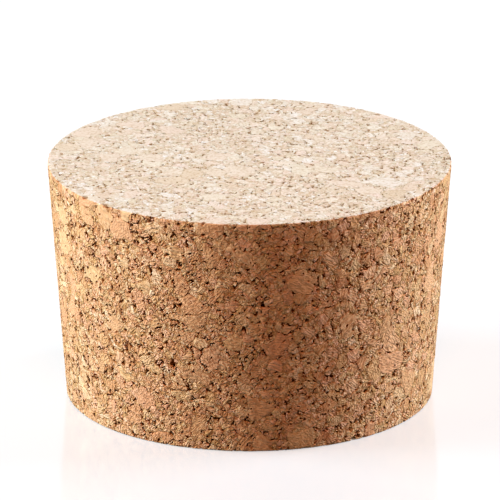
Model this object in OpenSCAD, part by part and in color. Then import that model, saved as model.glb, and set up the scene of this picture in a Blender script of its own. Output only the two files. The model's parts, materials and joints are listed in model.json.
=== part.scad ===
// Tapered cork stopper, turned and ground from one block of pressed cork granules.
// It stands on its narrow end. Z points up through the middle, and Z = 0 is the narrow end's face.
// Where a granule tore out under the grinding belt or the saw, it left a small ragged pocket.

/* [Stopper] */
// Diameter of the wide end
wide_d = 63.5; // [50:0.5:80]
// Diameter of the narrow end
narrow_d = 57.8; // [45:0.1:75]
// Height between the two sawn ends
height = 38.1; // [25:0.1:60]
// Radius that grinding and handling leave on both rims
rim_r = 0.3; // [0.1:0.05:1]

/* [Torn granules] */
// Pockets scattered over the ground side, beside the large ones listed below
side_count = 84; // [0:1:120]
// Pockets in each sawn end
end_count = 24; // [0:1:40]
// Nicks in each rim
nick_count = 26; // [0:1:40]
// Length of the smallest scattered pocket
pocket_min = 0.6; // [0.4:0.05:1]
// Length of the largest scattered pocket
pocket_max = 1.5; // [1:0.05:2]
// Width of a scattered pocket as a share of its length
pocket_width = 0.6; // [0.4:0.05:0.8]
// Depth of a pocket as a share of its length
pocket_depth = 0.55; // [0.3:0.05:0.8]
// How far a pocket leans away from square to the surface, in degrees
pocket_lean = 24; // [0:1:35]

/* [Hidden] */

cork = [0.82, 0.64, 0.45];
taper_angle = atan((wide_d - narrow_d) / 2 / height);
rim_steps = 4;       // straight steps in each rim's rounding

star_corners = 8;    // corners of a pocket's outline: tips and waists by turns
star_waist = 0.5;    // how far out the waists are, as a share of the longest tip
star_unevenness = 0.4; // how much shorter the shortest tip is, as a share of the longest
pocket_cutter = 2.5; // height of the prism that cuts a pocket, as a share of the pocket's depth

side_margin = 0.04;  // share of the height that side pockets leave clear at each rim
end_spread = 0.95;   // how far out the ends' pockets go, as a share of the end's radius
nick_size = 0.8;     // a nick's length as a share of a pocket's
nick_turn = 30;      // a nick's greatest turn away from the line of the rim, in degrees
nick_tilt = 45;      // a nick opens midway between outwards and up or down, in degrees

// The large pockets of the ground side: [angle from the front, height, length, width, turn]
large_pockets = [
    [-41, 9, 0.9, 0.6, 50],
    [-26, 27.5, 1.1, 0.6, 70],
    [-24, 32, 1.6, 1.0, 15],
    [-23, 13.5, 1.4, 1.0, 90],
    [-20, 30.5, 1.4, 0.8, 40],
    [-18, 29, 1.0, 0.6, 110],
    [-17, 13, 1.1, 0.6, 170],
    [-13, 36, 1.8, 0.7, 0],
    [4, 24.5, 1.8, 1.1, 145],
    [9, 12.5, 1.3, 0.9, 165],
    [13, 13.5, 1.1, 0.6, 10],
    [17, 21.5, 1.5, 1.0, 30],
    [20, 23.5, 0.9, 0.7, 80],
    [20, 26.5, 1.1, 0.8, 65],
    [22, 20, 1.0, 0.6, 30],
    [33, 2, 1.5, 1.0, 100],
    [35, 11, 1.1, 0.6, 60],
    [39, 9, 1.4, 0.7, 135],
    [48, 33.5, 1.7, 0.7, 90],
];

// The large nicks of each rim: [angle from the front, length, width, turn]
wide_rim_nicks = [
    [-54, 2.0, 0.9, 5],
    [-45, 1.6, 0.8, -12],
    [-13, 1.5, 0.7, 8],
];
narrow_rim_nicks = [
    [34, 1.8, 0.9, -10],
    [38, 1.3, 0.7, 15],
];

// Each surface scatters its pockets by its own run of whole numbers, which starts here
SIDE_RUN = 1;
WIDE_END_RUN = 200;
NARROW_END_RUN = 300;
WIDE_RIM_RUN = 400;
NARROW_RIM_RUN = 500;

// An even but irregular spread of numbers from 0 to 1, one for each whole number i
function scatter(i, step) = i * step - floor(i * step);
PLACE_STEP = 0.7548777;
HEIGHT_STEP = 0.5698403;
SIZE_STEP = 0.3819660;
TURN_STEP = 0.6180340;

// Small pockets are common and large ones rare
function pocket_length(i) =
    pocket_min + (pocket_max - pocket_min) * pow(scatter(i, SIZE_STEP), 2);

// Radius of the ground side at height z
function side_r(z) = (narrow_d + (wide_d - narrow_d) * z / height) / 2;

// A rim's arc, which turns from the end's face into the side or back
function rim_arc(centre, from, to) = [
    for (k = [0:rim_steps])
        let (a = from + (to - from) * k / rim_steps)
            [centre[0] + rim_r * cos(a), centre[1] + rim_r * sin(a)]
];

function narrow_rim_centre() = [
    side_r(0) - rim_r * tan(45 - taper_angle / 2),
    rim_r
];

function wide_rim_centre() = [
    side_r(height) - rim_r * tan(45 + taper_angle / 2),
    height - rim_r
];

// The solid before anything tore out of it
module blank() {
    rotate_extrude($fn = 180)
        polygon(concat(
            [[0, 0]],
            rim_arc(narrow_rim_centre(), -90, -taper_angle),
            rim_arc(wide_rim_centre(), -taper_angle, 90),
            [[0, height]]
        ));
}

// The gap between rounded granules: a star with hollow sides and tips of uneven length
module star(length, width, seed) {
    polygon([
        for (k = [0:star_corners - 1])
            let (
                a = 360 * k / star_corners,
                tip = 1 - star_unevenness * scatter(seed + k, TURN_STEP),
                reach = k % 2 == 0 ? tip : star_waist
            )
            [length / 2 * reach * cos(a), width / 2 * reach * sin(a)]
    ]);
}

// A pocket that opens through the plane z = 0
module pocket(length, width, turn, seed) {
    depth = pocket_depth * length;
    rotate([0, 0, turn])
        rotate([pocket_lean, 0, 0])
            translate([0, 0, -depth])
                linear_extrude(height = pocket_cutter * depth)
                    star(length, width, seed);
}

module scattered_pocket(i, size, turn) {
    length = size * pocket_length(i);
    pocket(length, pocket_width * length, turn, i);
}

// Places its children on the side, with z pointing straight out of the surface.
// The angle runs to the right from the front, which faces -Y.
module on_side(angle, z) {
    rotate([0, 0, angle])
        translate([0, -side_r(z), z])
            rotate([90 + taper_angle, 0, 0])
                children();
}

// Places its children on the rim at height z, with z pointing outwards and up by tilt
module on_rim(angle, z, tilt) {
    rotate([0, 0, angle])
        translate([0, -side_r(z), z])
            rotate([90 - tilt, 0, 0])
                children();
}

module side_pockets() {
    for (i = [0:len(large_pockets) - 1]) {
        p = large_pockets[i];
        on_side(p[0], p[1]) pocket(p[2], p[3], p[4], i);
    }
    for (i = [SIDE_RUN:1:SIDE_RUN + side_count - 1]) {
        rise = side_margin + (1 - 2 * side_margin) * scatter(i, HEIGHT_STEP);
        on_side(360 * scatter(i, PLACE_STEP), height * rise)
            scattered_pocket(i, 1, 180 * scatter(i, TURN_STEP));
    }
}

// Pockets in a flat end of radius r, which lies in the plane z = 0 and faces up
module end_pockets(r, run) {
    for (i = [run:1:run + end_count - 1])
        rotate([0, 0, 360 * scatter(i, PLACE_STEP)])
            translate([end_spread * r * sqrt(scatter(i, HEIGHT_STEP)), 0, 0])
                scattered_pocket(i, 1, 180 * scatter(i, TURN_STEP));
}

module rim_nicks(large_nicks, z, tilt, run) {
    for (i = [0:len(large_nicks) - 1]) {
        p = large_nicks[i];
        on_rim(p[0], z, tilt) pocket(p[1], p[2], p[3], run + i);
    }
    for (i = [run:1:run + nick_count - 1])
        on_rim(360 * scatter(i, PLACE_STEP), z, tilt)
            scattered_pocket(i, nick_size, nick_turn * (2 * scatter(i, TURN_STEP) - 1));
}

module stopper() {
    color(cork)
        difference() {
            blank();
            side_pockets();
            translate([0, 0, height]) end_pockets(wide_d / 2, WIDE_END_RUN);
            mirror([0, 0, 1]) end_pockets(narrow_d / 2, NARROW_END_RUN);
            rim_nicks(wide_rim_nicks, height, nick_tilt, WIDE_RIM_RUN);
            rim_nicks(narrow_rim_nicks, 0, -nick_tilt, NARROW_RIM_RUN);
        }
}

stopper();
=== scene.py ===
"""A tapered stopper of pressed cork granules, standing on its narrow end.

The stopper is one closed mesh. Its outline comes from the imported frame. The torn pockets, and the
gaps, cracks and small holes between granules, are pressed into it. The same granule pattern colours
it. Lengths are in millimetres until they reach Blender.
"""

import json
import math
from collections import namedtuple

import bpy
import numpy as np
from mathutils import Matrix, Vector


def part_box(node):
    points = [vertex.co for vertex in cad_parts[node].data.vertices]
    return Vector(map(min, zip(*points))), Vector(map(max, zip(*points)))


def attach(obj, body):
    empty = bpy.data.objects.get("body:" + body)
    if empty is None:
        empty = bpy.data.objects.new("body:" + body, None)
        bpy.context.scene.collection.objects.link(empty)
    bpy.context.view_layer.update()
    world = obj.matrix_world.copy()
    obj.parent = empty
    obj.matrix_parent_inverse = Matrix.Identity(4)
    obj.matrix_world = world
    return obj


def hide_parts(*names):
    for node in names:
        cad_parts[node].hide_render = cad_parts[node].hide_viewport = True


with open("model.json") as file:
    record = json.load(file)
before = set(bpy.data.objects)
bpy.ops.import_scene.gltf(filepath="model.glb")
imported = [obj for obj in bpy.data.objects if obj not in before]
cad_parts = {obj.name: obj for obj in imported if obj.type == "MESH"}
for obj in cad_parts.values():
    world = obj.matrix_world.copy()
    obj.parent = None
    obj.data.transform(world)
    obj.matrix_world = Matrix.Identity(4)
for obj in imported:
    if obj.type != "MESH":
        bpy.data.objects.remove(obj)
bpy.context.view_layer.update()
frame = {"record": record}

MM = 0.001

# ---------------------------------------------------------------- sizes of the stopper

lowest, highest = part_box("stopper")
mounts = {mount["name"]: mount for mount in frame["record"]["mounts"]}

HEIGHT = highest.z / MM
WIDE_R = min(highest.x, highest.y, -lowest.x, -lowest.y) / MM
NARROW_R = 2 * mounts["neck_taper"]["dims"]["r_mm"] - WIDE_R
RIM_R = 0.3
TAPER = math.atan((WIDE_R - NARROW_R) / HEIGHT)

# The mesh before the granules are pressed into it
COLUMNS = 1280        # round the side; halved again and again towards the middle of each end
RING_STEP = 0.16      # between rings on the side and the wide end
HIDDEN_STEP = 0.32    # between rings on the narrow end, which the stopper stands on
NARROWEST_FACE = 0.1  # the columns are halved where they come closer together than this
RIM_TURN = 1.8        # how far from a rim the direction of the pits starts to turn round it
TRIANGLES = 196000    # left after faces on smooth stretches are merged
SHEET_GAP = 1.4       # clear space round each part of the unrolled surface

# ---------------------------------------------------------------- granules

# From the chips to the crumbs. A share of the cells of each size are granules, and the rest of the
# space is left to the next size down. On a granule's face, lean and dome are how far it tilts and
# rises. Bright is how light the granules of that size are on the ground side, and contrast and grain
# are how much a granule's colour differs from the others' and varies within.
Level = namedtuple("Level", "size share lean dome bright contrast grain")
LEVELS = (
    Level(size=3.4, share=0.14, lean=0.01, dome=0.03, bright=0.98, contrast=0.05, grain=0.05),
    Level(size=1.7, share=0.34, lean=0.06, dome=0.04, bright=0.99, contrast=0.10, grain=0.08),
    Level(size=0.8, share=1.00, lean=0.11, dome=0.05, bright=1.00, contrast=0.14, grain=0.11),
)
LEVEL_SHIFT = (7.7, 3.1, 5.3)     # in cells, so that the levels' cells don't line up
CRACK_SHIFT = (31.0, 17.0, 5.0)   # so that cracks don't follow the bends' noise
BEND_SIZE = 2.0        # of the waves that bend the granules' edges
BEND_REACH = 1.6       # from one extreme of the waves to the other
CRINKLE_SIZE = 0.6     # of the smaller waves that make the edges ragged
CRINKLE_REACH = 0.5    # from one extreme of the smaller waves to the other
FLAKE_SIZE = 0.42      # of the flakes that a granule's face breaks into
FLAKE_LEAN = 0.18      # their slope
GAP_DEPTH = 0.6        # of the gap where several granules leave a space between them
GAP_BLUR = 0.07        # over which a gap opens, as a share of the cells' size
CRACK_WIDTH = 0.22     # of the widest crack along a granule's edge
CRACK_DEPTH = 1.8      # of a crack, as a share of the widest one's width
CRACK_LENGTH = 0.9     # of the stretches of edge that are open or closed
CRACK_TAPER = 0.08     # rise of the edges' noise over which a crack widens
CRACK_NARROWEST = 0.06  # half the width of the narrowest crack
CRACK_RIMMED = 0.08    # half the width of the narrowest crack whose rim has a painted highlight
HAIRLINE_REACH = 0.2   # fall of the edges' noise below which a hairline has run out
HAIRLINE_FULL = 0.05   # fall of the edges' noise above which a hairline is at its darkest
HAIRLINE_WIDTH = (0.1, 0.04)  # distances from the edge, from no shade to full shade
HOLE_DEPTH = 1.2       # of a small hole, as a share of its diameter
HOLE_SPACING = 0.75    # between the places where a small hole may be
HOLE_SMALLEST = 0.1    # radius of the smallest hole
HOLE_LARGEST = 0.2     # radius of the largest
RIM_WIDTH = 0.14       # of the rim round a crack or a hole, which is paler with a painted highlight

# Patches of the block were pressed more or less. Each pair is for the most and the least pressed.
PATCH_SIZE = 3.5
PATCH_RANGE = (0.35, 0.65)     # value of the patches' noise
GAP_STARTS = (1.06, 0.93)      # how far all the granules' middles are where a gap starts to open
CRACK_STARTS = (0.595, 0.535)  # value of the edges' noise where a crack starts to open
HOLE_SHARE = (0.16, 0.36)      # of the places where a small hole may be

# ---------------------------------------------------------------- torn pockets, as in the CAD part

POCKET_MIN = 0.6       # length of the smallest scattered pocket
POCKET_MAX = 1.5       # length of the largest
POCKET_WIDTH = 0.6     # of a scattered pocket, as a share of its length
POCKET_DEPTH = 0.55    # of a pocket, as a share of its length
POCKET_LEAN = 24       # away from square to the surface, in degrees
POCKET_CUTTER = 2.5    # height of the prism that cuts a pocket, as a share of the pocket's depth
STAR_CORNERS = 8       # of a pocket's outline: tips and waists by turns
STAR_WAIST = 0.5       # how far out the waists are, as a share of the longest tip
STAR_UNEVENNESS = 0.4  # how much shorter the shortest tip is, as a share of the longest
SIDE_MARGIN = 0.04     # share of the height that side pockets leave clear at each rim
END_SPREAD = 0.95      # how far out the ends' pockets go, as a share of the end's radius
NICK_SIZE = 0.8        # a nick's length as a share of a pocket's
NICK_TURN = 30         # a nick's greatest turn away from the line of the rim, in degrees
NICK_TILT = 45         # a nick opens midway between outwards and up or down, in degrees
SIDE_COUNT = 84
END_COUNT = 24
NICK_COUNT = 26

# Each surface scatters its pockets by its own run of whole numbers, which starts here
SIDE_RUN, WIDE_END_RUN, NARROW_END_RUN, WIDE_RIM_RUN, NARROW_RIM_RUN = 1, 200, 300, 400, 500
PLACE_STEP, HEIGHT_STEP, SIZE_STEP, TURN_STEP = 0.7548777, 0.5698403, 0.3819660, 0.6180340

# angle from the front, height, length, width, turn
LARGE_POCKETS = (
    (-41, 9, 0.9, 0.6, 50),
    (-26, 27.5, 1.1, 0.6, 70),
    (-24, 32, 1.6, 1.0, 15),
    (-23, 13.5, 1.4, 1.0, 90),
    (-20, 30.5, 1.4, 0.8, 40),
    (-18, 29, 1.0, 0.6, 110),
    (-17, 13, 1.1, 0.6, 170),
    (-13, 36, 1.8, 0.7, 0),
    (4, 24.5, 1.8, 1.1, 145),
    (9, 12.5, 1.3, 0.9, 165),
    (13, 13.5, 1.1, 0.6, 10),
    (17, 21.5, 1.5, 1.0, 30),
    (20, 23.5, 0.9, 0.7, 80),
    (20, 26.5, 1.1, 0.8, 65),
    (22, 20, 1.0, 0.6, 30),
    (33, 2, 1.5, 1.0, 100),
    (35, 11, 1.1, 0.6, 60),
    (39, 9, 1.4, 0.7, 135),
    (48, 33.5, 1.7, 0.7, 90),
)
# angle from the front, length, width, turn
WIDE_RIM_NICKS = (
    (-54, 2.0, 0.9, 5),
    (-45, 1.6, 0.8, -12),
    (-13, 1.5, 0.7, 8),
)
NARROW_RIM_NICKS = (
    (34, 1.8, 0.9, -10),
    (38, 1.3, 0.7, 15),
)


# ================================================================ nodes

class Graph:
    """Adds nodes to a tree. Shader and geometry trees share the texture and maths nodes used here."""

    def __init__(self, tree):
        self.tree = tree

    def feed(self, socket, value):
        if isinstance(value, bpy.types.NodeSocket):
            self.tree.links.new(value, socket)
        else:
            socket.default_value = value

    def node(self, kind, inputs=None, **settings):
        made = self.tree.nodes.new(kind)
        for name, value in settings.items():
            setattr(made, name, value)
        for name, value in (inputs or {}).items():
            self.feed(made.inputs[name], value)
        return made

    def maths(self, operation, *values):
        made = self.node("ShaderNodeMath", operation=operation)
        for socket, value in zip(made.inputs, values):
            self.feed(socket, value)
        return made.outputs[0]

    def vectors(self, operation, *values):
        made = self.node("ShaderNodeVectorMath", operation=operation)
        for socket, value in zip(made.inputs, values):
            self.feed(socket, value)
        wanted = "Value" if operation in ("DOT_PRODUCT", "LENGTH") else "Vector"
        return made.outputs[wanted]

    def scaled(self, vector, factor):
        made = self.node("ShaderNodeVectorMath", {"Scale": factor}, operation="SCALE")
        self.feed(made.inputs[0], vector)
        return made.outputs["Vector"]

    def mix(self, factor, a, b, kind="FLOAT", blend="MIX"):
        made = self.node("ShaderNodeMix", data_type=kind)
        if kind == "RGBA":
            made.blend_type = blend
        first, second, out = {"FLOAT": (2, 3, 0), "RGBA": (6, 7, 2)}[kind]
        self.feed(made.inputs[0], factor)
        self.feed(made.inputs[first], a)
        self.feed(made.inputs[second], b)
        return made.outputs[out]

    def span(self, value, low, high, to_low=0.0, to_high=1.0, smooth=False):
        """The value's place between low and high, clamped, as a number from to_low to to_high."""
        made = self.node(
            "ShaderNodeMapRange",
            {"From Min": low, "From Max": high, "To Min": to_low, "To Max": to_high},
            interpolation_type="SMOOTHSTEP" if smooth else "LINEAR",
        )
        self.feed(made.inputs["Value"], value)
        return made.outputs[0]

    def noise(self, place, size, detail=2.0, roughness=0.5):
        """Noise whose features are about size millimetres across: (value, colour)."""
        made = self.node(
            "ShaderNodeTexNoise",
            {"Vector": place, "Scale": 1 / size, "Detail": detail, "Roughness": roughness},
        )
        return made.outputs[0], made.outputs[1]

    def cells(self, place, size, feature="F1"):
        return self.node(
            "ShaderNodeTexVoronoi", {"Vector": place, "Scale": 1 / size}, feature=feature
        ).outputs

    def parts(self, vector):
        return self.node("ShaderNodeSeparateXYZ", {"Vector": vector}).outputs


def find_granule(g, place):
    """The granule at a place: its random numbers, the place measured from its middle, how far its
    middle and its edge are, and what its level says of its face."""
    granule = None
    for level in reversed(LEVELS):
        shifted = g.vectors("ADD", place, tuple(part * level.size for part in LEVEL_SHIFT))
        cell = g.cells(shifted, level.size)
        to_edge = g.cells(shifted, level.size, "DISTANCE_TO_EDGE")["Distance"]
        this = {
            "random": cell["Color"],
            "local": g.vectors("SUBTRACT", shifted, cell["Position"]),
            "reach": cell["Distance"],
            "edge": g.maths("MULTIPLY", to_edge, level.size),
            "lean": level.lean,
            "dome": level.dome,
            "bright": level.bright,
            "contrast": level.contrast,
            "grain": level.grain,
        }
        if granule is None:
            granule = this
            continue
        here = g.maths("LESS_THAN", g.parts(cell["Color"])["X"], level.share)
        kinds = {name: "RGBA" if name in ("random", "local") else "FLOAT" for name in this}
        granule = {name: g.mix(here, granule[name], this[name], kinds[name]) for name in this}
    return granule


def edge_cracks(g, place, edge, looseness):
    """Open stretches of the granules' edges, which swell and taper, and the hairlines that lead on
    from them: (crack, its rim, hairline)."""
    elsewhere = g.vectors("ADD", place, CRACK_SHIFT)
    opening, _ = g.noise(elsewhere, CRACK_LENGTH, detail=1.0, roughness=0.6)
    closed_below = g.span(looseness, *PATCH_RANGE, *CRACK_STARTS)
    widest_from = g.maths("ADD", closed_below, CRACK_TAPER)
    half_width = g.span(opening, closed_below, widest_from, 0.0, CRACK_WIDTH / 2)
    crack = g.span(edge, g.maths("MULTIPLY", half_width, 0.6), half_width, 1.0, 0.0)
    crack = g.maths("MULTIPLY", crack, g.maths("GREATER_THAN", half_width, CRACK_NARROWEST))
    rim = g.span(edge, half_width, g.maths("ADD", half_width, RIM_WIDTH), 1.0, 0.0)
    rim = g.maths("MULTIPLY", rim, g.maths("GREATER_THAN", half_width, CRACK_RIMMED))
    faint_from = g.maths("SUBTRACT", closed_below, HAIRLINE_REACH)
    runs_out = g.span(opening, faint_from, g.maths("SUBTRACT", closed_below, HAIRLINE_FULL))
    hairline = g.maths("MULTIPLY", g.span(edge, *HAIRLINE_WIDTH), runs_out)
    return crack, rim, hairline


def small_holes(g, place, looseness):
    """Round holes scattered through the block: (hole, its rim, its radius)."""
    cell = g.cells(place, HOLE_SPACING)
    random = g.parts(cell["Color"])
    common = g.span(looseness, *PATCH_RANGE, *HOLE_SHARE)
    open_here = g.maths("LESS_THAN", random["X"], common)
    radius = g.span(random["Y"], 0.0, 1.0, HOLE_SMALLEST, HOLE_LARGEST)
    away = g.maths("MULTIPLY", cell["Distance"], HOLE_SPACING)
    hole = g.span(away, g.maths("MULTIPLY", radius, 0.65), radius, 1.0, 0.0)
    rim = g.span(away, radius, g.maths("ADD", radius, RIM_WIDTH), 1.0, 0.0)
    return g.maths("MULTIPLY", hole, open_here), g.maths("MULTIPLY", rim, open_here), radius


def granule_pattern(g, place):
    """The block at a place, in millimetres: its granule, how open its gaps, cracks and small holes
    are there, how deep they are, and how near their rims are."""
    _, bend = g.noise(place, BEND_SIZE, detail=1.0)
    _, crinkle = g.noise(place, CRINKLE_SIZE, detail=1.0)
    bend = g.scaled(g.vectors("SUBTRACT", bend, (0.5, 0.5, 0.5)), BEND_REACH)
    crinkle = g.scaled(g.vectors("SUBTRACT", crinkle, (0.5, 0.5, 0.5)), CRINKLE_REACH)
    shift = g.vectors("ADD", bend, crinkle)
    pattern = find_granule(g, g.vectors("ADD", place, shift))

    # A gap opens where the middles of all the granules are far away. There are more gaps, cracks
    # and holes where the block was pressed less.
    looseness, _ = g.noise(place, PATCH_SIZE, detail=2.0)
    starts = g.span(looseness, *PATCH_RANGE, *GAP_STARTS)
    gap = g.span(pattern["reach"], starts, g.maths("ADD", starts, GAP_BLUR), smooth=True)
    crack, crack_rim, hairline = edge_cracks(g, place, pattern["edge"], looseness)
    hole, hole_rim, radius = small_holes(g, g.vectors("ADD", place, g.scaled(shift, 0.7)), looseness)
    mark = g.maths("MAXIMUM", crack, hole)
    crack_depth = g.maths("MULTIPLY", crack, CRACK_DEPTH * CRACK_WIDTH)
    hole_depth = g.maths("MULTIPLY", hole, g.maths("MULTIPLY", radius, 2 * HOLE_DEPTH))
    gap_depth = g.maths("MULTIPLY", gap, GAP_DEPTH)
    depth = g.maths("MAXIMUM", gap_depth, g.maths("MAXIMUM", crack_depth, hole_depth))
    rim = g.maths("MAXIMUM", crack_rim, hole_rim)
    pattern.update(gap=gap, mark=mark, depth=depth, rim=rim, hairline=hairline)

    # Each granule's face rises along its own way, which its grain follows too.
    way = g.vectors("NORMALIZE", g.vectors("SUBTRACT", pattern["random"], (0.5, 0.5, 0.5)))
    facet = g.maths("MULTIPLY", g.vectors("DOT_PRODUCT", pattern["local"], way), pattern["lean"])
    pattern.update(way=way, facet=facet)
    return pattern


# ================================================================ mesh

def narrow_rim_centre():
    return NARROW_R - RIM_R * math.tan(math.pi / 4 - TAPER / 2), RIM_R


def wide_rim_centre():
    return WIDE_R - RIM_R * math.tan(math.pi / 4 + TAPER / 2), HEIGHT - RIM_R


def steps_along(length, step):
    return max(1, round(length / step))


def arc(centre, start, stop):
    """Points along a rim's arc, both ends included."""
    count = steps_along(RIM_R * (stop - start), RING_STEP)
    turns = np.linspace(start, stop, count + 1)
    return [(centre[0] + RIM_R * math.cos(t), centre[1] + RIM_R * math.sin(t)) for t in turns]


def between(start, stop, step):
    """Points on the straight from start to stop, without its two ends."""
    count = steps_along(math.dist(start, stop), step)
    return [tuple(np.array(start) + (np.array(stop) - start) * k / count) for k in range(1, count)]


def outline():
    """Radius and height of each ring, from the middle of the narrow end to that of the wide one."""
    low_arc = arc(narrow_rim_centre(), -math.pi / 2, -TAPER)
    high_arc = arc(wide_rim_centre(), -TAPER, math.pi / 2)
    points = [(0.0, 0.0)] + between((0.0, 0.0), low_arc[0], HIDDEN_STEP) + low_arc
    points += between(low_arc[-1], high_arc[0], RING_STEP) + high_arc
    points += between(high_arc[-1], (0.0, HEIGHT), RING_STEP) + [(0.0, HEIGHT)]
    return np.array(points)


def smoothstep(x):
    x = np.clip(x, 0, 1)
    return x * x * (3 - 2 * x)


def pit_angles(points):
    """The direction of each ring's pits, as an angle from outwards: up, inwards, then down."""
    travelled = np.concatenate([[0], np.cumsum(np.hypot(*np.diff(points, axis=0).T))])
    low_rim = travelled[np.argmin(np.hypot(points[:, 0] - NARROW_R, points[:, 1]))]
    high_rim = travelled[np.argmin(np.hypot(points[:, 0] - WIDE_R, points[:, 1] - HEIGHT))]
    past_low = smoothstep((travelled - low_rim) / (2 * RIM_TURN) + 0.5)
    past_high = smoothstep((travelled - high_rim) / (2 * RIM_TURN) + 0.5)
    right = math.pi / 2
    return right + (right - TAPER) * past_low + (right + TAPER) * past_high


def columns_at(radius):
    count = COLUMNS
    while count > 10 and 2 * math.pi * radius / count < NARROWEST_FACE:
        count //= 2
    return count


def bridge(a, b):
    """Triangles between two rings of vertex numbers, of the same count or one twice the other."""
    a_next, b_next = np.roll(a, -1), np.roll(b, -1)
    if len(a) == len(b):
        return [(a, a_next, b_next), (a, b_next, b)]
    if len(a) == 1:
        return [(np.repeat(a, len(b)), b_next, b)]
    if len(b) == 1:
        return [(a, a_next, np.repeat(b, len(a)))]
    if len(a) > len(b):
        even, odd, after = a[::2], a[1::2], np.roll(a[::2], -1)
        return [(even, odd, b), (odd, after, b_next), (odd, b_next, b)]
    even, odd, after = b[::2], b[1::2], np.roll(b[::2], -1)
    return [(a, odd, even), (a, a_next, odd), (a_next, after, odd)]


def build_grid():
    """Fine closed grid of the stopper before it is pitted: places, pit directions, triangles."""
    points = outline()
    angles = pit_angles(points)
    places, inward, triangles = [], [], []
    last, total = None, 0
    for (radius, height), angle in zip(points, angles):
        count = columns_at(radius) if radius > 0 else 1
        turn = np.arange(count) * 2 * math.pi / count
        around = np.stack([np.cos(turn), np.sin(turn)], axis=1)
        places.append(np.column_stack([around * radius, np.full(count, height)]))
        inward.append(np.column_stack([around * math.cos(angle), np.full(count, math.sin(angle))]))
        ring = np.arange(total, total + count)
        total += count
        if last is not None:
            triangles += [np.stack(corners, axis=1) for corners in bridge(last, ring)]
        last = ring
    return np.concatenate(places), np.concatenate(inward), np.concatenate(triangles)


def mesh_of(name, places, triangles=()):
    """A mesh from arrays of places and triangles."""
    mesh = bpy.data.meshes.new(name)
    mesh.vertices.add(len(places))
    mesh.vertices.foreach_set("co", np.asarray(places, np.float32).ravel())
    if len(triangles):
        mesh.loops.add(3 * len(triangles))
        mesh.loops.foreach_set("vertex_index", np.asarray(triangles, np.int32).ravel())
        mesh.polygons.add(len(triangles))
        mesh.polygons.foreach_set("loop_start", np.arange(len(triangles), dtype=np.int32) * 3)
        mesh.polygons.foreach_set("loop_total", np.full(len(triangles), 3, np.int32))
    mesh.update(calc_edges=True)
    return mesh


def sample_pattern(places, names):
    """The granule pattern's named values at places in millimetres, worked out by Geometry Nodes."""
    tree = bpy.data.node_groups.new("sample_pattern", "GeometryNodeTree")
    tree.interface.new_socket("Geometry", in_out="INPUT", socket_type="NodeSocketGeometry")
    tree.interface.new_socket("Geometry", in_out="OUTPUT", socket_type="NodeSocketGeometry")
    g = Graph(tree)
    pattern = granule_pattern(g, g.node("GeometryNodeInputPosition").outputs[0])
    geometry = g.node("NodeGroupInput").outputs[0]
    for name in names:
        kind = "FLOAT_VECTOR" if name == "random" else "FLOAT"
        store = g.node("GeometryNodeStoreNamedAttribute", data_type=kind, domain="POINT")
        g.feed(store.inputs["Geometry"], geometry)
        store.inputs["Name"].default_value = name
        g.feed(store.inputs["Value"], pattern[name])
        geometry = store.outputs[0]
    g.feed(g.node("NodeGroupOutput").inputs[0], geometry)

    sampler = bpy.data.objects.new("sampler", mesh_of("sampler", places))
    bpy.context.scene.collection.objects.link(sampler)
    sampler.modifiers.new("sample", "NODES").node_group = tree
    bpy.context.view_layer.update()
    sampled = sampler.evaluated_get(bpy.context.evaluated_depsgraph_get()).data
    values = {}
    for name in names:
        width = 3 if name == "random" else 1
        values[name] = np.zeros(len(places) * width, np.float32)
        key = "vector" if name == "random" else "value"
        sampled.attributes[name].data.foreach_get(key, values[name])
        if name == "random":
            values[name] = values[name].reshape(-1, 3)
    mesh = sampler.data
    bpy.data.objects.remove(sampler)
    bpy.data.meshes.remove(mesh)
    bpy.data.node_groups.remove(tree)
    return values


# ================================================================ torn pockets

def scatter(i, step):
    return i * step - math.floor(i * step)


def pocket_length(i):
    return POCKET_MIN + (POCKET_MAX - POCKET_MIN) * scatter(i, SIZE_STEP) ** 2


def side_r(z):
    return NARROW_R + (WIDE_R - NARROW_R) * z / HEIGHT


def turned(axis, degrees):
    """The matrix that turns about X or Z."""
    c, s = math.cos(math.radians(degrees)), math.sin(math.radians(degrees))
    if axis == "X":
        return np.array([[1, 0, 0], [0, c, -s], [0, s, c]])
    return np.array([[c, -s, 0], [s, c, 0], [0, 0, 1]])


def star(length, width, seed):
    corners = []
    for k in range(STAR_CORNERS):
        a = 2 * math.pi * k / STAR_CORNERS
        reach = STAR_WAIST if k % 2 else 1 - STAR_UNEVENNESS * scatter(seed + k, TURN_STEP)
        corners.append((length / 2 * reach * math.cos(a), width / 2 * reach * math.sin(a)))
    return np.array(corners)


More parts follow.
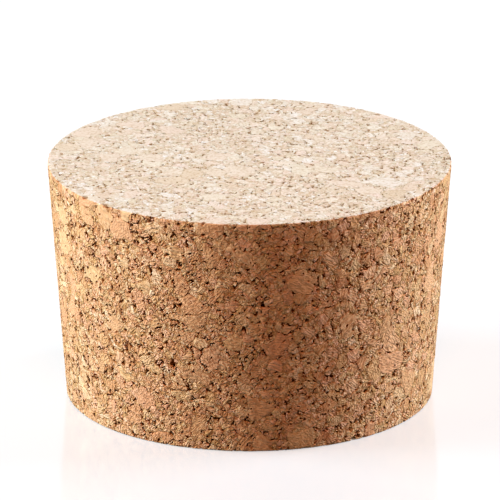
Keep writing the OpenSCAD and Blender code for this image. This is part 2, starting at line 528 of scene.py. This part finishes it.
def pocket_list():
    """Every torn pocket: (middle, axes of its surface, length, width, turn, seed)."""
    pockets = []

    def add(middle, axes, length, width, turn, seed):
        pockets.append((middle, axes, length, width, turn, seed))

    def add_scattered(middle, axes, i, size, turn):
        length = size * pocket_length(i)
        add(middle, axes, length, POCKET_WIDTH * length, turn, i)

    def on_round(angle, z, tip):
        spin = turned("Z", angle)
        return spin @ np.array([0, -side_r(z), z]), spin @ turned("X", tip)

    lean = 90 + math.degrees(TAPER)
    for i, (angle, z, length, width, turn) in enumerate(LARGE_POCKETS):
        add(*on_round(angle, z, lean), length, width, turn, i)
    for i in range(SIDE_RUN, SIDE_RUN + SIDE_COUNT):
        rise = SIDE_MARGIN + (1 - 2 * SIDE_MARGIN) * scatter(i, HEIGHT_STEP)
        place = on_round(360 * scatter(i, PLACE_STEP), HEIGHT * rise, lean)
        add_scattered(*place, i, 1, 180 * scatter(i, TURN_STEP))

    flip = np.diag([1.0, 1.0, -1.0])
    for radius, z, run, mirror in (
        (WIDE_R, HEIGHT, WIDE_END_RUN, np.eye(3)),
        (NARROW_R, 0.0, NARROW_END_RUN, flip),
    ):
        for i in range(run, run + END_COUNT):
            spin = turned("Z", 360 * scatter(i, PLACE_STEP))
            out = END_SPREAD * radius * math.sqrt(scatter(i, HEIGHT_STEP))
            middle = spin @ np.array([out, 0, 0]) + np.array([0, 0, z])
            add_scattered(middle, mirror @ spin, i, 1, 180 * scatter(i, TURN_STEP))

    for nicks, z, tilt, run in (
        (WIDE_RIM_NICKS, HEIGHT, NICK_TILT, WIDE_RIM_RUN),
        (NARROW_RIM_NICKS, 0.0, -NICK_TILT, NARROW_RIM_RUN),
    ):
        for i, (angle, length, width, turn) in enumerate(nicks):
            add(*on_round(angle, z, 90 - tilt), length, width, turn, run + i)
        for i in range(run, run + NICK_COUNT):
            place = on_round(360 * scatter(i, PLACE_STEP), z, 90 - tilt)
            turn = NICK_TURN * (2 * scatter(i, TURN_STEP) - 1)
            add_scattered(*place, i, NICK_SIZE, turn)
    return pockets


def inside(corners, spots):
    """Which spots lie inside the outline, by counting the edges that a line to +X crosses."""
    crossings = np.zeros(len(spots), int)
    for start, stop in zip(corners, np.roll(corners, -1, axis=0)):
        spans = (start[1] > spots[:, 1]) != (stop[1] > spots[:, 1])
        rise = np.where(spans, stop[1] - start[1], 1)
        across = start[0] + (spots[:, 1] - start[1]) / rise * (stop[0] - start[0])
        crossings += spans & (spots[:, 0] < across)
    return crossings % 2 == 1


def way_out(corners, spots, ways):
    """How far each spot travels along its way before it leaves the outline."""
    far = np.full(len(spots), np.inf)
    for start, stop in zip(corners, np.roll(corners, -1, axis=0)):
        side = stop - start
        cross = ways[:, 0] * side[1] - ways[:, 1] * side[0]
        cross = np.where(np.abs(cross) < 1e-12, 1e-12, cross)
        offset = start - spots
        travel = (offset[:, 0] * side[1] - offset[:, 1] * side[0]) / cross
        along = (offset[:, 0] * ways[:, 1] - offset[:, 1] * ways[:, 0]) / cross
        met = (travel > 0) & (along >= 0) & (along <= 1)
        far = np.where(met, np.minimum(far, travel), far)
    return far


def pocket_depths(places, inward):
    """How deep the torn pockets are at each place."""
    depths = np.zeros(len(places))
    for middle, axes, length, width, turn, seed in pocket_list():
        near = np.flatnonzero(np.abs(places - middle).max(axis=1) < length)
        axes = axes @ turned("Z", turn) @ turned("X", POCKET_LEAN)
        spots = (places[near] - middle) @ axes
        ways = inward[near] @ axes
        depth = POCKET_DEPTH * length
        corners = star(length, width, seed)
        held = inside(corners, spots[:, :2]) & (spots[:, 2] > -depth)
        held &= spots[:, 2] < (POCKET_CUTTER - 1) * depth
        near, spots, ways = near[held], spots[held], ways[held]
        to_floor = (spots[:, 2] + depth) / np.maximum(-ways[:, 2], 1e-6)
        travel = np.minimum(way_out(corners, spots[:, :2], ways[:, :2]), to_floor)
        depths[near] = np.maximum(depths[near], travel)
    return depths


# ================================================================ the stopper's body

GROUND_UNEVENNESS = 0.03  # how much deeper one granule of the ground side may sit than another
SAWN_UNEVENNESS = 0.02    # the same on the sawn ends
SAWN_MARKS = 0.5          # depth of the sawn ends' marks, as a share of the ground side's
SAWN_LEAN = 0.6           # lean of their granules, as a share of the ground side's
SHARP_ANGLE = 32          # in degrees; an edge that turns by more isn't shaded smooth


def reduced(mesh, triangles):
    """The same mesh with its flatter faces merged, down to a number of triangles."""
    holder = bpy.data.objects.new("reducer", mesh)
    bpy.context.scene.collection.objects.link(holder)
    modifier = holder.modifiers.new("merge", "DECIMATE")
    modifier.ratio = triangles / len(mesh.polygons)
    bpy.context.view_layer.update()
    result = bpy.data.meshes.new_from_object(
        holder.evaluated_get(bpy.context.evaluated_depsgraph_get())
    )
    bpy.data.objects.remove(holder)
    bpy.data.meshes.remove(mesh)
    return result


def vertex_places(mesh):
    places = np.zeros(3 * len(mesh.vertices), np.float32)
    mesh.vertices.foreach_get("co", places)
    return places.reshape(-1, 3)


def keep_inside(mesh):
    """Brings back the vertices that merging pushed out of the outline."""
    places = vertex_places(mesh) / MM
    places[:, 2] = np.clip(places[:, 2], 0, HEIGHT)
    radii = np.hypot(places[:, 0], places[:, 1])
    places[:, :2] *= np.minimum(1, side_r(places[:, 2]) / np.maximum(radii, 1e-6))[:, None]
    mesh.vertices.foreach_set("co", (places * MM).astype(np.float32).ravel())
    mesh.update()


def add_rest(mesh, rest):
    """Keeps each vertex's place before it was pressed in, in millimetres, for the material."""
    attribute = mesh.attributes.new("rest", "FLOAT_VECTOR", "POINT")
    attribute.data.foreach_set("vector", np.asarray(rest, np.float32).ravel())


def rest_of(mesh):
    rest = np.zeros(3 * len(mesh.vertices), np.float32)
    mesh.attributes["rest"].data.foreach_get("vector", rest)
    return rest.reshape(-1, 3)


def unrolled(spots):
    """Where the corners of triangles lie on the unrolled surface, as shares of a square sheet. The
    side's front half and back half lie above each other, and the two ends above them."""
    middles = spots.mean(axis=1, keepdims=True)
    behind = middles[..., 1] > 0
    x = np.where(behind, -spots[..., 0], spots[..., 0])
    y = np.where(behind, -spots[..., 1], spots[..., 1])
    across = SHEET_GAP + WIDE_R * (np.arctan2(x, -y) + math.pi / 2)
    up = SHEET_GAP + spots[..., 2] + np.where(behind, HEIGHT + SHEET_GAP, 0)
    row = 2 * HEIGHT + 3 * SHEET_GAP
    for here, radius, left, way in (
        (middles[..., 2] > HEIGHT - RIM_R / 3, WIDE_R, SHEET_GAP, 1),
        (middles[..., 2] < RIM_R / 3, NARROW_R, 2 * SHEET_GAP + 2 * WIDE_R, -1),
    ):
        across = np.where(here, left + radius + spots[..., 0], across)
        up = np.where(here, row + radius + way * spots[..., 1], up)
    return np.stack([across, up], axis=-1) / (2 * HEIGHT + 2 * WIDE_R + 4 * SHEET_GAP)


def add_map(mesh, rest):
    """A map of the unrolled surface, so that textures can be baked evenly."""
    corners = np.zeros(len(mesh.loops), np.int32)
    mesh.loops.foreach_get("vertex_index", corners)
    sheet = unrolled(rest[corners].reshape(-1, 3, 3))
    mesh.uv_layers.new(name="OFBake").data.foreach_set("uv", sheet.astype(np.float32).ravel())


def surface_depths(places, inward):
    """How far each place is pressed in. The sawn ends are cut truer than the side is ground."""
    pattern = sample_pattern(places, ("depth", "random", "facet"))
    facet = pattern["facet"]
    ground = np.minimum(places[:, 2], HEIGHT - places[:, 2]) > RIM_R / 2
    marks = pattern["depth"] * np.where(ground, 1.0, SAWN_MARKS)
    uneven = pattern["random"][:, 2] * np.where(ground, GROUND_UNEVENNESS, SAWN_UNEVENNESS)
    ground_face = GROUND_UNEVENNESS - facet
    sawn_face = SAWN_UNEVENNESS - SAWN_LEAN * facet
    uneven += np.maximum(0, np.where(ground, ground_face, sawn_face))
    return np.maximum(marks, pocket_depths(places, inward)) + uneven


def add_pits(mesh, rest):
    """Keeps how far each vertex was pressed in, in millimetres, for the material's painted shade in
    deep pits.
    """
    depths = np.linalg.norm(vertex_places(mesh) / MM - rest, axis=1)
    attribute = mesh.attributes.new("pit", "FLOAT", "POINT")
    attribute.data.foreach_set("value", depths.astype(np.float32))


def build_body():
    places, inward, triangles = build_grid()
    depths = surface_depths(places, inward)
    mesh = mesh_of("cork_body", (places + inward * depths[:, None]) * MM, triangles)
    add_rest(mesh, places)
    mesh = reduced(mesh, TRIANGLES)
    keep_inside(mesh)
    rest = rest_of(mesh)
    add_pits(mesh, rest)
    add_map(mesh, rest)
    mesh.shade_smooth()
    mesh.set_sharp_from_angle(angle=math.radians(SHARP_ANGLE))
    body = bpy.data.objects.new("cork_body", mesh)
    bpy.context.scene.collection.objects.link(body)
    return body


# ================================================================ materials

# The ground side's colours
TAN = (0.77, 0.43, 0.208)
ROSE = (0.775, 0.392, 0.2)
OLIVE = (0.745, 0.444, 0.205)
PALE = (0.84, 0.53, 0.285)
BROWN = (0.68, 0.335, 0.158)

# The sawn ends' paler colours
CREAM = (0.73, 0.675, 0.535)
PINK = (0.74, 0.64, 0.525)
STRAW = (0.70, 0.605, 0.455)
ASH = (0.755, 0.715, 0.62)

# Cork reddens as it darkens: green and blue fall as these powers of the brightness
GROUND_POWERS = (1.55, 2.5)
SAWN_POWERS = (1.5, 2.4)

# What each thing does to the brightness, on the ground side and on the sawn ends
OWN_SHARE = (1.0, 0.5)      # of the differences between granules
GRAIN_SHARE = (1.0, 0.6)    # of the differences within a granule
# A painted highlight on the rims round cracks and holes
RIM_PAINTED_HIGHLIGHT = (1.16, 1.03)
HAIRLINE_SHADE = (0.26, 0.15)
MOTTLE_SHADE = (0.0, 0.12)
# Cracks and holes: their dark insides, with painted shade added
MARK_DARK_AND_PAINTED_SHADE = (0.64, 0.4)
# Gaps and deep pits: the gaps' dark binder with painted shade added, and painted shade by the pits'
# depth
HOLLOW_BINDER_AND_PAINTED_SHADE = (0.88, 0.6)

MOTTLE_SIZE = 0.5
MOTTLE_RANGE = (0.47, 0.38)  # values of the mottle's noise, from no shade to full shade
PAINTED_PIT_SHADE = (0.45, 0.75)     # depths in millimetres, from no painted shade to full painted shade
GRAIN_SIZE = 0.26
GRAIN_RANGE = (0.40, 0.60)   # values of the grain's noise, from darkest to lightest
GRAIN_SQUEEZE = 0.75         # how far the grain is drawn out along a granule's way

# What each thing adds to the fine relief or takes from it, in millimetres
GRAIN_HEIGHT = 0.6           # for a level whose grain is 1
RIM_HEIGHT = 0.03
MARK_HEIGHT = 0.3
HAIRLINE_HEIGHT = 0.1
SAWN_RELIEF = 0.3            # the sawn ends' relief as a share of the ground side's

ROUGHNESS = 0.8
SPECULAR = 0.03


def ramp(g, value, stops):
    """A colour for each value between 0 and 1, from (place, colour) stops."""
    made = g.node("ShaderNodeValToRGB", {"Fac": value})
    elements = made.color_ramp.elements
    while len(elements) < len(stops):
        elements.new(1.0)
    for element, (place, colour) in zip(elements, stops):
        element.position = place
        element.color = (*colour, 1.0)
    return made.outputs[0]


def product(g, *values):
    result = values[0]
    for value in values[1:]:
        result = g.maths("MULTIPLY", result, value)
    return result


def cork_grain(g, rest, way):
    """Fine grain from -1 to 1, drawn out along each granule's own way."""
    along = g.vectors("DOT_PRODUCT", rest, way)
    squeezed = g.scaled(way, g.maths("MULTIPLY", along, GRAIN_SQUEEZE))
    place = g.vectors("SUBTRACT", rest, squeezed)
    grain, _ = g.noise(place, GRAIN_SIZE, detail=0.5, roughness=0.6)
    return g.span(grain, *GRAIN_RANGE, -1.0, 1.0)


def cork_colour(g, rest, pattern, grain, sawn, pit):
    """Each granule has its own tint and brightness. Hairlines are a little darker. Gaps, cracks,
    holes and pits are much darker: their dark binder and insides with painted shade added, and
    painted shade that deepens with a pit's depth. Rims round cracks and holes have a painted highlight."""
    _, second, third = g.parts(pattern["random"])
    ground_tint = ramp(g, second, (
        (0.0, BROWN), (0.1, ROSE), (0.3, TAN), (0.5, ROSE), (0.6, TAN), (0.8, OLIVE), (0.95, PALE),
    ))
    sawn_tint = ramp(g, second, (
        (0.05, STRAW), (0.2, PINK), (0.4, CREAM), (0.55, PINK), (0.7, CREAM), (0.9, ASH),
    ))
    tint = g.mix(sawn, ground_tint, sawn_tint, "RGBA")

    def on_face(values):
        return g.span(sawn, 0.0, 1.0, *values)

    def darkened(amount, most):
        return g.maths("SUBTRACT", 1.0, g.maths("MULTIPLY", amount, on_face(most)))

    own = product(g, g.span(third, 0.0, 1.0, -1.0, 1.0), pattern["contrast"], on_face(OWN_SHARE))
    uneven = g.maths("ADD", own, product(g, grain, pattern["grain"], on_face(GRAIN_SHARE)))
    mottle, _ = g.noise(rest, MOTTLE_SIZE, detail=1.0, roughness=0.6)
    # The gaps' dark binder and painted shade, and painted shade in the pits that grows with their depth
    binder_and_painted_shade = g.maths("MAXIMUM", pattern["gap"], g.span(pit, *PAINTED_PIT_SHADE))
    bright = product(
        g,
        g.maths("ADD", g.mix(sawn, pattern["bright"], 1.0), uneven),
        darkened(pattern["hairline"], HAIRLINE_SHADE),
        darkened(g.span(mottle, *MOTTLE_RANGE), MOTTLE_SHADE),
        # Painted highlight on the rims round cracks and holes
        g.span(pattern["rim"], 0.0, 1.0, 1.0, on_face(RIM_PAINTED_HIGHLIGHT)),
        # Painted shade in cracks, holes, gaps and deep pits, on top of their dark binder and insides
        g.maths("MINIMUM", darkened(pattern["mark"], MARK_DARK_AND_PAINTED_SHADE), darkened(binder_and_painted_shade, HOLLOW_BINDER_AND_PAINTED_SHADE)),
    )
    green, blue = (on_face(powers) for powers in zip(GROUND_POWERS, SAWN_POWERS))
    shade = g.node("ShaderNodeCombineColor", {
        "Red": bright, "Green": g.maths("POWER", bright, green), "Blue": g.maths("POWER", bright, blue),
    }).outputs[0]
    return g.mix(1.0, tint, shade, "RGBA", "MULTIPLY")


def flakes(g, rest):
    """The height in millimetres of the small flat flakes that a granule's face breaks into."""
    cell = g.cells(rest, FLAKE_SIZE)
    lean = g.vectors("NORMALIZE", g.vectors("SUBTRACT", cell["Color"], (0.5, 0.5, 0.5)))
    away = g.vectors("SUBTRACT", rest, cell["Position"])
    return g.maths("MULTIPLY", g.vectors("DOT_PRODUCT", away, lean), FLAKE_LEAN)


def cork_relief(g, rest, pattern, grain, sawn):
    """The height in millimetres of the relief that is too fine for the mesh: each granule's face is
    a little domed, breaks into flakes and has its grain, and the marks are sharper."""
    dome = g.maths("MULTIPLY", g.span(pattern["edge"], 0.0, 0.2), pattern["dome"])
    rough = product(g, grain, pattern["grain"], GRAIN_HEIGHT)
    raised = g.maths("MULTIPLY", pattern["rim"], RIM_HEIGHT)
    sunk = g.maths("MULTIPLY", pattern["mark"], MARK_HEIGHT)
    sunk = g.maths("ADD", sunk, g.maths("MULTIPLY", pattern["hairline"], HAIRLINE_HEIGHT))
    relief = g.maths("ADD", g.maths("ADD", dome, rough), g.maths("ADD", flakes(g, rest), raised))
    relief = g.maths("SUBTRACT", relief, sunk)
    return g.maths("MULTIPLY", relief, g.span(sawn, 0.0, 1.0, 1.0, SAWN_RELIEF))


def new_material(name):
    """An empty node material and the graph that fills it."""
    material = bpy.data.materials.new(name)
    material.use_nodes = True
    material.node_tree.nodes.clear()
    return material, Graph(material.node_tree)


def cork_material():
    material, g = new_material("pressed_cork")
    rest = g.node("ShaderNodeAttribute", attribute_name="rest").outputs["Vector"]
    pit = g.node("ShaderNodeAttribute", attribute_name="pit").outputs["Fac"]
    height = g.parts(rest)["Z"]
    top = g.span(height, HEIGHT - 0.12, HEIGHT - 0.02)
    underside = g.span(height, 0.12, 0.02)
    sawn = g.maths("MAXIMUM", top, underside)
    pattern = granule_pattern(g, rest)
    grain = cork_grain(g, rest, pattern["way"])
    relief = cork_relief(g, rest, pattern, grain, sawn)
    bump = g.node("ShaderNodeBump", {"Height": relief, "Distance": MM, "Strength": 1.0})
    shader = g.node("ShaderNodeBsdfPrincipled", {
        "Base Color": cork_colour(g, rest, pattern, grain, sawn, pit),
        "Roughness": ROUGHNESS,
        "Specular IOR Level": SPECULAR,
        "Normal": bump.outputs[0],
    })
    output = g.node("ShaderNodeOutputMaterial")
    g.feed(output.inputs["Surface"], shader.outputs[0])
    return material


# ================================================================ floor, lights and camera

FLOOR_HALF = 2.0       # metres
FLOOR_GREY = 0.35      # the floor's colour as the camera sees it
FLOOR_GLOW = 0.52      # added to bring it up to white where nothing shades it
FLOOR_BOUNCE = 0.06    # its colour for the light that it throws back up at the stopper
FLOOR_POLISH = 0.12    # its roughness, low enough for a soft reflection

WHITE = (1.0, 1.0, 1.0, 1.0)

# The photograph's side light is cooler than the little light that reaches the front
COOL = (1.0, 1.24, 1.46)
COOLISH = (1.0, 1.12, 1.25)
NEUTRAL = (1.0, 0.96, 0.88)
WARM = (1.0, 0.47, 0.28)

SIDE_DISTANCE, FRONT_DISTANCE = 0.6, 0.8    # of the lamps from the stopper, in metres
SIDE_SIZE, FRONT_SIZE = (0.34, 0.3), (0.2, 0.2)

CAMERA_ELEVATION = 18.94    # degrees
CAMERA_DISTANCE = 37.27     # in wide radii
CAMERA_LENS = 540.7
AIM_RIGHT = 0.08            # of the stopper's middle, in millimetres
AIM_HEIGHT = 0.729          # in wide radii


def seen_directly(g):
    """1 for the rays that show a surface to the camera, straight or by reflection, and 0 for those
    that only carry light."""
    path = g.node("ShaderNodeLightPath").outputs
    seen = g.maths("MAXIMUM", path["Is Camera Ray"], path["Is Glossy Ray"])
    return g.maths("MAXIMUM", seen, path["Is Transmission Ray"])


def floor_material():
    """Polished white floor. It throws less light back up at the stopper than it shows the camera."""
    material, g = new_material("floor")
    seen = seen_directly(g)
    grey = g.span(seen, 0.0, 1.0, FLOOR_BOUNCE, FLOOR_GREY)
    shade = g.node("ShaderNodeCombineColor", {"Red": grey, "Green": grey, "Blue": grey}).outputs[0]
    shader = g.node("ShaderNodeBsdfPrincipled", {
        "Base Color": shade,
        "Roughness": FLOOR_POLISH,
        "Specular IOR Level": 0.5,
        "Emission Color": WHITE,
        "Emission Strength": g.span(seen, 0.0, 1.0, 0.0, FLOOR_GLOW),
    })
    output = g.node("ShaderNodeOutputMaterial")
    g.feed(output.inputs["Surface"], shader.outputs[0])
    return material


def add_floor():
    h = FLOOR_HALF
    corners = [(-h, -h, 0), (h, -h, 0), (h, h, 0), (-h, h, 0)]
    mesh = bpy.data.meshes.new("floor")
    mesh.from_pydata(corners, [], [(0, 1, 2, 3)])
    mesh.materials.append(floor_material())
    floor = bpy.data.objects.new("floor", mesh)
    bpy.context.scene.collection.objects.link(floor)


def add_softbox(name, turn, elevation, distance, size, level, colour):
    """A softbox aimed at the stopper. Turn is to the right from the camera, and a level of 1 lights a
    surface that faces it so that its colour renders as written."""
    data = bpy.data.lights.new(name, "AREA")
    data.shape = "RECTANGLE"
    data.size, data.size_y = size
    data.energy = level * math.pi ** 2 * distance ** 2
    data.color = colour
    lamp = bpy.data.objects.new(name, data)
    bpy.context.scene.collection.objects.link(lamp)
    turn, elevation = math.radians(turn), math.radians(elevation)
    away = Vector((
        math.sin(turn) * math.cos(elevation), -math.cos(turn) * math.cos(elevation), math.sin(elevation)
    ))
    aim = Vector((0, 0, HEIGHT / 2 * MM))
    lamp.location = aim + away * distance
    lamp.rotation_euler = away.to_track_quat("Z", "Y").to_euler()


def add_lights():
    add_softbox("left_back", -93, 20, SIDE_DISTANCE, SIDE_SIZE, 1.2, COOL)
    add_softbox("left_front", -76, 20, SIDE_DISTANCE, SIDE_SIZE, 0.57, NEUTRAL)
    add_softbox("right", 106, 18, SIDE_DISTANCE, SIDE_SIZE, 1.46, COOLISH)
    add_softbox("front_fill", 8, 58, FRONT_DISTANCE, FRONT_SIZE, 0.465, WARM)


def set_world():
    """A white backdrop that the camera and reflections see, and that gives no light itself."""
    world = bpy.data.worlds.new("studio")
    bpy.context.scene.world = world
    world.use_nodes = True
    tree = world.node_tree
    tree.nodes.clear()
    g = Graph(tree)
    background = g.node("ShaderNodeBackground", {"Color": WHITE, "Strength": seen_directly(g)})
    g.feed(g.node("ShaderNodeOutputWorld").inputs["Surface"], background.outputs[0])


def add_camera():
    """A long lens a little above the stopper."""
    elevation = math.radians(CAMERA_ELEVATION)
    distance = CAMERA_DISTANCE * WIDE_R * MM
    aim = Vector((AIM_RIGHT * MM, 0, AIM_HEIGHT * WIDE_R * MM))
    data = bpy.data.cameras.new("camera")
    data.sensor_width = 36
    data.lens = CAMERA_LENS
    data.clip_end = 20
    camera = bpy.data.objects.new("camera", data)
    bpy.context.scene.collection.objects.link(camera)
    camera.location = aim + distance * Vector((0, -math.cos(elevation), math.sin(elevation)))
    camera.rotation_euler = (math.pi / 2 - elevation, 0, 0)
    bpy.context.scene.camera = camera


body = build_body()
body.data.materials.append(cork_material())
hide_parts("stopper")
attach(body, "root")
add_floor()
add_lights()
set_world()
add_camera()
bpy.context.scene.view_settings.view_transform = "Standard"
